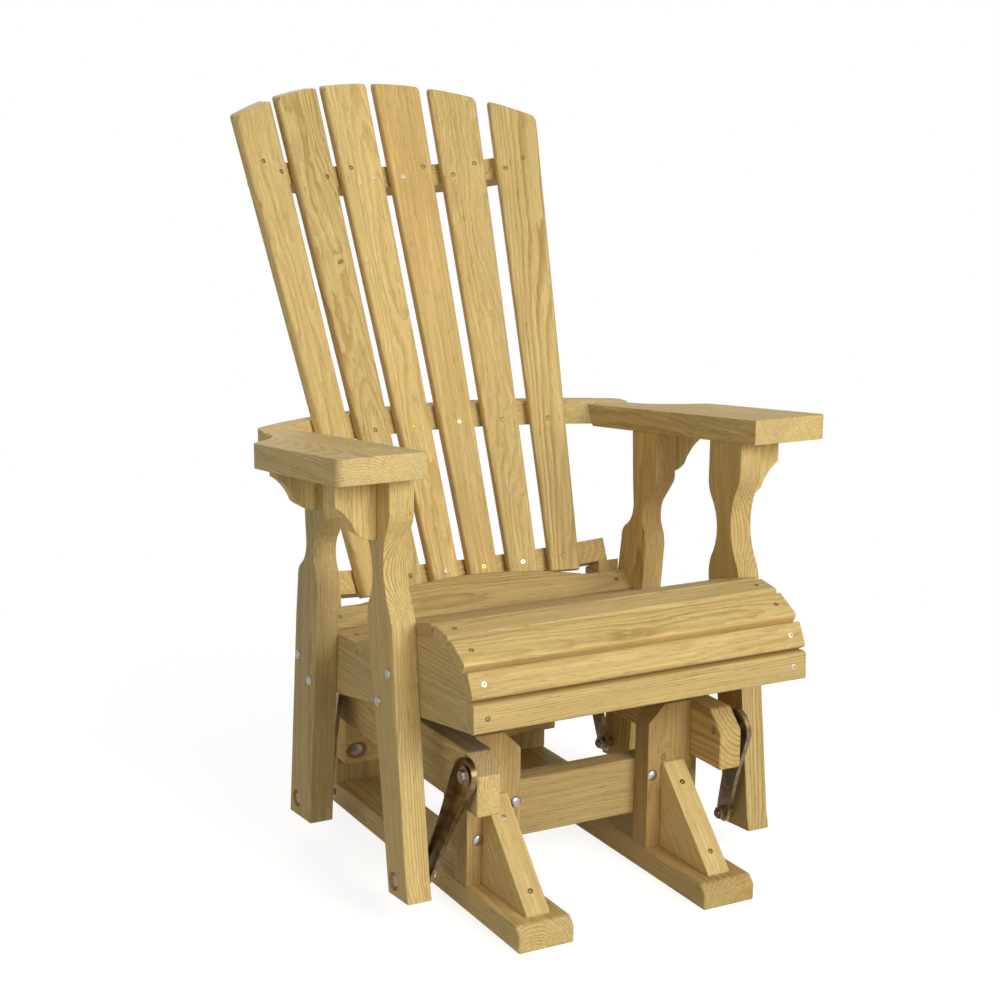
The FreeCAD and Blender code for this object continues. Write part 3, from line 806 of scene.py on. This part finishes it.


# From the left and from the front, in the order of plainLook
# the last value, the tone, is partly painted shade: the seat slats that tilt back are darker for
# the shade they are in
slatLooks = {"back": [
    (61, 0.012, -0.04, 0.0060, 0.50, 0.15, 0.15, 0.045, 1.0),
    (62, -0.01, -0.035, 0.0065, 0.75, 0.20, 0.15, 0.060, 0.97),
    (63, 0.02, -0.05, 0.0050, 0.50, 0.30, 0.05, 0.040, 1.06),
    (64, 0.04, 0.06, 0.0080, 0.22, 0.60, 0.05, 0.020, 0.98),
    (65, 0.03, -0.07, 0.0045, 0.50, 0.30, 0.15, 0.050, 0.97),
    (66, 0.03, -0.08, 0.0034, 0.85, 0.25, 0.10, 0.010, 0.98),
], "seat": [
    (41, 0.07, -0.03, 0.0026, 0.60, 0.30, 0.10, 0.010, 0.82),
    (42, 0.035, -0.035, 0.0030, 0.60, 0.30, 0.05, 0.014, 0.85),
    (43, 0.012, -0.028, 0.0034, 0.75, 0.30, 0.05, 0.020, 0.96),
    (44, 0.05, -0.04, 0.0028, 0.55, 0.15, 0.20, 0.012, 0.93),
    (45, 0.05, -0.03, 0.0032, 0.65, 0.15, 0.25, 0.015, 0.75),
    (46, 0.05, -0.04, 0.0034, 0.60, 0.25, 0.15, 0.015, 0.72),
    (47, 0.05, -0.04, 0.0034, 0.55, 0.15, 0.15, 0.015, 0.85),
    (48, 0.04, -0.05, 0.0032, 0.60, 0.20, 0.15, 0.012, 0.80),
    (49, 0.02, -0.05, 0.0032, 0.65, 0.25, 0.20, 0.012, 0.80),
]}
# on which slat: along and across from its point, and a radius
slatKnots = {("back", 1): [(560, 4, 3)], ("seat", 6): [(-90, 40, 4)]}

backPoints = []
for number, look in enumerate(slatLooks["back"]):
    foot, along, side, front = slatAxes(number - 2.5)
    backPoints.append(slatPoint(drawn(*foot), along, side, front, lookOf(look),
                                slatKnots.get(("back", number), ())))
seatPoints = []
for number, look in enumerate(slatLooks["seat"]):
    (y0, z0), (y1, z1) = (seatFlats + [rampFlat[1]])[number:number + 2] if number < 8 else rampFlat
    run = math.hypot(y1 - y0, z1 - z0)
    across = Vector((0, y1 - y0, z1 - z0)) / run
    hollowRoom = seat["hollowRoom"] if number in (6, 7) else 0.0
    bulge = seat["bulge"] if number == 8 else 0.0
    seatPoints.append(slatPoint(
        drawn(0, y0, z0), alongX, across, (0, -across.z, across.y), lookOf(look),
        slatKnots.get(("seat", number), ()),
        run=(run - hollowRoom) / perMetre, bulge=bulge / perMetre))
for kind, points, tree in (("back", backPoints, buildBackSlatTree()),
                           ("seat", seatPoints, buildSeatSlatTree())):
    slats = runTree(f"slats_{kind}", carrierMesh(kind, points), tree,
                    pineOnSlats(f"pine_{kind}_slats"))
    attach(slats, "seat")
    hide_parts(*[f"{kind}_slat_{n + 1}" for n in range(len(points))])
print("slats stood:", len(backPoints), "and", len(seatPoints))

# Small fasteners: tree, finish, body and spots
fasteners = {
    "screws_seat_yellow": (screwTree, "screwYellow", "seat", []),
    "screws_seat_bright": (screwTree, "screwBright", "seat", []),
    "screws_seat_dull": (screwTree, "screwDull", "seat", []),
    "screws_base": (screwTree, "screwDull", "base", []),
    "screws_base_bright": (screwTree, "screwBright", "base", []),
    "carriage_bolts_base": (boltTree, "zincBolt", "base", []),
    "nuts_base": (nutTree, "nutDull", "base", []),
    "carriage_bolts_seat": (legBoltTree, "legZinc", "seat", []),
    "nuts_seat": (nutTree, "nutDull", "seat", []),
}
# deck screws on the back, by the slat's distance from the middle: row, width and height
screwRows = {
    0.5: (("low", 34.9, 404), ("mid", 41.8, 630), ("topIn", 28, 1027.6), ("topOut", 68, 1043.3)),
    1.5: (("low", 104.2, 406), ("mid", 118.2, 630), ("topIn", 118.2, 1029.9),
          ("topOut", 159.3, 1048.5)),
    2.5: (("low", 174, 413), ("mid", 194.8, 630), ("topIn", 209.1, 1040.5),
          ("topOut", 241.7, 1058.1)),
}
screwFinish = {(3, "mid"): "yellow", (4, "low"): "yellow", (1, "mid"): "bright",
               (4, "mid"): "bright", (3, "low"): "bright", (5, "low"): "bright",
               (2, "topOut"): "yellow", (3, "topIn"): "bright", (4, "topIn"): "bright"}
rampScrew = (44.7, 370.8, -0.571, 0.821)        # depth, height and which way it faces
baseJoints = {"faces": ((-1, -285), (1, 222)), "braceX": 154.6, "through": 76,
              "screws": ((30, 149.6), (110, 67)), "bolts": ((119, 156), (181, 108))}
legJoints = {"outX": 313.7, "inX": 237.4,
             "bolts": ((-262.6, 373.5), (-228, 323.7), (69.4, 310.9), (24.3, 281.4))}
sides = (-1, 1)


def fasten(name, spot, facing):
    fasteners[name][-1].append((spot, Vector(facing)))


for distance, spots in screwRows.items():
    for side in sides:
        for row, x, z in spots:
            finish = screwFinish.get((round(side * distance + 3.5), row), "dull")
            fasten("screws_seat_" + finish, *onSlat(side * distance, side * x, z))
for number in range(8):
    for side in sides:
        finish = "bright" if number == 1 or (number == 0 and side > 0) else "dull"
        fasten("screws_seat_" + finish, *onSeatSlat(number, side * seat["screwX"]))
for side in sides:
    y, z, faceY, faceZ = rampScrew
    fasten("screws_seat_dull", drawn(side * seat["screwX"], y, z), (0, faceY, faceZ))
    for way, y in baseJoints["faces"]:
        slant = Vector((0, way * braceRise, braceRun)).normalized()
        for reach, height in baseJoints["screws"]:
            bright = (side, way, reach) == (-1, -1, 30)     # one screw is newer
            fasten("screws_base_bright" if bright else "screws_base",
                   drawn(side * baseJoints["braceX"], y + way * reach, height), slant)
        for x, z in baseJoints["bolts"]:
            fasten("carriage_bolts_base", drawn(side * x, y, z), (0, way, 0))
            fasten("nuts_base", drawn(side * x, y - way * baseJoints["through"], z), (0, -way, 0))
    for y, z in legJoints["bolts"]:
        fasten("carriage_bolts_seat", drawn(side * legJoints["outX"], y, z), (side, 0, 0))
        fasten("nuts_seat", drawn(side * legJoints["inX"], y, z), (-side, 0, 0))
for name, (tree, finish, body, spots) in fasteners.items():
    setFasteners(name, tree, finish, spots, body)
print("fasteners set")

# Pressed swing arms: close to the hanger rail above, close to the leg below
armSizes = {"big": 27.0, "small": 14.5, "sheet": 2.5, "neck": 3.5, "upperWeb": 231.5,
            "lowerWeb": 258.0, "upperDepth": 8.0, "lowerDepth": 6.0, "steps": 18,
            "edge": 0.0005, "edgeAngle": 50}
armPins = {"front": (-345.0, -276.0), "rear": (107.0, 84.0)}    # depths, upper and lower
pinHigh, pinLow = 236.0, 67.0
hangerOuter, legInner, legRecess = 225.0, 275.7, 304.9


def armProfile(length, inset):
    # half of the arm's outline from the big end to the small one, as (along, half width)
    big, small = armSizes["big"] - inset, armSizes["small"] - inset
    lean = math.asin((big - small) / length)
    steps = armSizes["steps"]
    turn = math.pi / 2 + lean
    profile = []
    for n in range(steps + 1):
        angle = turn * n / steps
        profile.append((-big * math.cos(angle), big * math.sin(angle)))
    start, end = profile[-1], (length + small * math.sin(lean), small * math.cos(lean))
    for n in range(1, steps):
        share = n / steps
        pulled = armSizes["neck"] * math.sin(math.pi * share) ** 2
        profile.append((mix(start[0], end[0], share), mix(start[1], end[1], share) - pulled))
    for n in range(steps + 1):
        angle = (math.pi - turn) * (1 - n / steps)
        profile.append((length + small * math.cos(angle), small * math.sin(angle)))
    return profile


def keepBuilt(build, name, material):
    # an object of what was built, smooth between its creases
    for face in build.faces:
        face.smooth = True
    for edge in build.edges:
        edge.smooth = edge.calc_face_angle(0.0) < creaseAngle
    mesh = bpy.data.meshes.new(name)
    build.to_mesh(mesh)
    build.free()
    mesh.materials.append(material)
    return stand(name, mesh)


def buildArm(name, side, upperY, lowerY):
    down = Vector((0, lowerY - upperY, pinLow - pinHigh))
    length = down.length
    down.normalize()
    beside = Vector((0, -down.z, down.y))

    def place(along, aside, rise):
        # rise is measured from the web's rail side, outwards
        share = along / length
        web = mix(armSizes["upperWeb"], armSizes["lowerWeb"], share)
        depth = mix(armSizes["upperDepth"], armSizes["lowerDepth"], share)
        height = {"back": 0.0, "face": armSizes["sheet"], "rim": depth}[rise]
        spot = down * along + beside * aside
        return drawn(side * (web + height), upperY + spot.y, pinHigh + spot.z)

    build = bmesh.new()
    rings = []
    for out, inside in zip(armProfile(length, 0.0), armProfile(length, armSizes["sheet"])):
        ring = [(out, -1, "back"), (out, 1, "back"), (out, 1, "rim"), (inside, 1, "rim"),
                (inside, 1, "face"), (inside, -1, "face"), (inside, -1, "rim"), (out, -1, "rim")]
        rings.append([build.verts.new(place(along, way * wide, rise))
                      for (along, wide), way, rise in ring])
    for first, second in zip(rings, rings[1:]):
        for n, corner in enumerate(first):
            m = (n + 1) % len(first)
            build.faces.new((corner, first[m], second[m], second[n]))
    bmesh.ops.remove_doubles(build, verts=build.verts[:], dist=1e-6)
    bmesh.ops.dissolve_degenerate(build, edges=build.edges[:], dist=1e-6)
    bmesh.ops.recalc_face_normals(build, faces=build.faces[:])
    arm = keepBuilt(build, name, metals["bronzeSteel"])
    roundOff(arm, armSizes["edge"], armSizes["edgeAngle"])
    return arm


def ringOn(rings, name, finish, body):
    # turned rings on the pivots: start, facing, radius and length of each in millimetres
    build = bmesh.new()
    for start, facing, radius, length in rings:
        radius, length = radius / perMetre, length / perMetre
        turn = facing.to_track_quat("Z", "Y").to_matrix().to_4x4()
        middle = Matrix.Translation(start + facing * length / 2)
        bmesh.ops.create_cone(build, cap_ends=True, segments=40, radius1=radius, radius2=radius,
                              depth=length, matrix=middle @ turn)
    piece = keepBuilt(build, name, metals[finish])
    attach(piece, body)
    return piece


bushSizes = {"sleeve": 10.0, "cap": 15.0, "capThick": 2.0, "lower": 9.0, "backRing": 11.5,
             "railGap": 0.3, "sleevePast": 1.2, "legGap": 0.4}
footPinSizes = {"radius": 5.9, "inwards": 11.0, "intoLeg": 3.0, "headInwards": 2.0}
lowerWeb, capThick = armSizes["lowerWeb"], bushSizes["capThick"]
upperFace = armSizes["upperWeb"] + armSizes["sheet"]
lowerFace = lowerWeb + armSizes["sheet"]
hangerBolts, footBolts = [], {}
for sideName, side in zip(("left", "right"), sides):
    outwards = Vector((side, 0, 0))
    for end, (upperY, lowerY) in armPins.items():
        body = f"link_{end}_{sideName}"
        arm = buildArm(f"swing_arm_plate_{end}_{sideName}", side, upperY, lowerY)
        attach(arm, body)
        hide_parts(f"swing_arm_{end}_{sideName}")
        rings = ((hangerOuter + bushSizes["railGap"], upperY, pinHigh, outwards,
                  bushSizes["sleeve"], upperFace - hangerOuter + bushSizes["sleevePast"]),
                 (upperFace, upperY, pinHigh, outwards, bushSizes["cap"], capThick),
                 (lowerFace, lowerY, pinLow, outwards, bushSizes["lower"],
                  legInner - bushSizes["legGap"] - lowerFace),
                 (lowerWeb, lowerY, pinLow, -outwards, bushSizes["backRing"], capThick))
        bushes = ringOn([(drawn(side * x, y, z), *ring) for x, y, z, *ring in rings],
                        f"swing_bushes_{end}_{sideName}", "bushBronze", body)
        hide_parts(f"bushes_{end}_{sideName}")
        hangerBolts.append((drawn(side * (upperFace + capThick), upperY, pinHigh), outwards))
        footBolts.setdefault("seat" if end == "front" else body, []).append((side, lowerY))
hexBolts = setFasteners("bolts_hanger", hexTree, "zincBolt", hangerBolts, "base")
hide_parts("hanger_bolts")
for rider, pins in footBolts.items():
    shanks, heads = [], []
    for side, y in pins:
        outwards = Vector((side, 0, 0))
        inner = lowerWeb - footPinSizes["inwards"]
        shanks.append((drawn(side * inner, y, pinLow), outwards, footPinSizes["radius"],
                       legRecess + footPinSizes["intoLeg"] - inner))
        heads.append((drawn(side * legRecess, y, pinLow), outwards))
        heads.append((drawn(side * (lowerWeb - footPinSizes["headInwards"]), y, pinLow), -outwards))
    ending = "front" if rider == "seat" else rider[5:]
    shank = ringOn(shanks, f"foot_pins_{ending}", "brownZinc", rider)
    setFasteners(f"foot_bolt_heads_{ending}", hexHeadTree, "brownZinc", heads, rider)
    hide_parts("foot_bolts_front" if rider == "seat" else f"foot_bolt_{ending}")
print("swing arms, bushes and pivot bolts made")

# The floor looks white, keeps the chair's shadow near it and is all white further off
studio = {"floorColour": (0.62, 0.60, 0.57, 1), "reach": 14.0, "fadeFrom": 0.6, "fadeTo": 1.6,
          "lift": 0.84, "held": 0.45, "fillColour": (1, 0.96, 0.88, 1), "fillStrength": 0.17}


def buildFloor():
    material, w, shader = newMaterial("paleFloor")
    for socket, value in (("Base Color", studio["floorColour"]), ("Roughness", 0.9),
                          ("Specular IOR Level", 0.1)):
        shader.inputs[socket].default_value = value
    seen = w.seenRays()
    away = w.ease(w.vector("LENGTH", w.place()), studio["fadeFrom"], studio["fadeTo"])
    lift, held = studio["lift"], studio["held"]
    glowing = w.times(seen, w.plus(lift, w.times(away, 1 - lift)))
    weight = w.minus(1.0, w.times(seen, w.plus(held, w.times(away, 1 - held))))
    dark = w.shade("BsdfTransparent", {"Color": (0, 0, 0, 1)})
    shadowed = w.shade("MixShader", {0: weight, 1: dark, 2: shader.outputs[0]})
    glow = w.shade("Emission", {"Color": (1, 1, 1, 1), "Strength": glowing})
    w.feed(w.tree.nodes["Material Output"].inputs["Surface"],
           w.shade("AddShader", {0: shadowed, 1: glow}))
    mesh = bpy.data.meshes.new("floor")
    reach = studio["reach"]
    mesh.from_pydata([(-reach, -reach, 0), (reach, -reach, 0), (reach, reach, 0),
                      (-reach, reach, 0)], [], [(0, 1, 2, 3)])
    mesh.materials.append(material)
    stand("floor", mesh)


def buildWorld():
    world = bpy.data.worlds.new("studio")
    bpy.context.scene.world = world
    world.use_nodes = True
    w = Wiring(world.node_tree)
    w.tree.nodes.clear()
    fill = w.shade("Background", {"Color": studio["fillColour"],
                                  "Strength": studio["fillStrength"]})
    white = w.shade("Background", {"Color": (1, 1, 1, 1), "Strength": 1.0})
    mixed = w.shade("MixShader", {0: w.seenRays(), 1: fill, 2: white})
    w.put("ShaderNodeOutputWorld", {"Surface": mixed})


# Each lamp: its place, the height it aims at above the middle of the floor, size and power
lamps = {"keyLight": ((0.7, -4.3, 2.3), 0.6, 2.4, 160),
         "sideLight": ((-3.8, -2.5, 1.9), 0.6, 2.5, 30),
         "topLight": ((0.3, 0.6, 4.2), 0.5, 2.5, 6), "backLight": ((0.6, 3.3, 2.8), 0.6, 2.5, 42)}


def areaLight(name, place, aim, size, power):
    data = bpy.data.lights.new(name, "AREA")
    data.shape = "DISK"
    data.size = size
    data.energy = power
    lamp = stand(name, data)
    lamp.location = place
    lamp.rotation_mode = "QUATERNION"
    lamp.rotation_quaternion = (Vector((0, 0, aim)) - Vector(place)).to_track_quat("-Z", "Y")


# The camera: place in metres, angles in radians, focal length and frame width in pixels
view = {"place": (-1.3896, -2.581216, 1.18905), "yaw": 0.4989, "pitch": 0.2188,
        "roll": -0.0092, "focal": 1885.7, "frame": 1000, "sensor": 36.0}


def buildCamera():
    data = bpy.data.cameras.new("camera")
    data.sensor_fit = "HORIZONTAL"
    data.sensor_width = view["sensor"]
    data.lens = view["focal"] / view["frame"] * view["sensor"]
    data.clip_start, data.clip_end = 0.05, 60.0
    camera = stand("camera", data)
    turned = Matrix.Translation(view["place"])
    for angle, axis in ((-view["yaw"], "Z"), (math.pi / 2 - view["pitch"], "X"),
                        (-view["roll"], "Z")):
        turned = turned @ Matrix.Rotation(angle, 4, axis)
    camera.matrix_world = turned
    bpy.context.scene.camera = camera


buildFloor()
buildWorld()
for name, lamp in lamps.items():
    areaLight(name, *lamp)
buildCamera()
bpy.context.scene.view_settings.view_transform = "Standard"
print("stage, light and camera ready")
